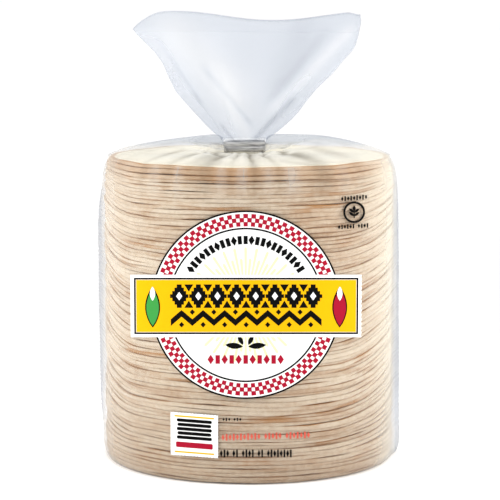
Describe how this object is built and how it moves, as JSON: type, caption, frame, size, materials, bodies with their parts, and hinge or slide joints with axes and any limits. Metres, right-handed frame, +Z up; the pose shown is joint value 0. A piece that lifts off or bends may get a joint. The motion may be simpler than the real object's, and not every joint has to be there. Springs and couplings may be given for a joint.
{
  "type": "bagged corn tortilla stack",
  "caption": "A tall round stack of white corn tortillas in a clear film bag, gathered and tied over the stack, with the film fanning out above the tie.",
  "frame": {"origin": "centre of the flat base, in the middle of the pack's outline", "axes": "+Z up through the stack and the tied neck; the pack's printed front faces -Y and its two side folds are at -X and +X"},
  "size_m": [0.1566, 0.1498, 0.2285],
  "materials": {
    "film": "clear glossy film over pale corn tortillas, so the slot's colour is the tortillas' own",
    "tie": "silver-grey plastic ribbon over a thin wire",
    "tortilla": "matt, dry, pale cream with faint tan marks",
    "print": "ink printed on the film: golden yellow, crimson, black and white"
  },
  "bodies": {
    "root": {"bag": "film", "tie": "tie"}
  },
  "joints": []
}
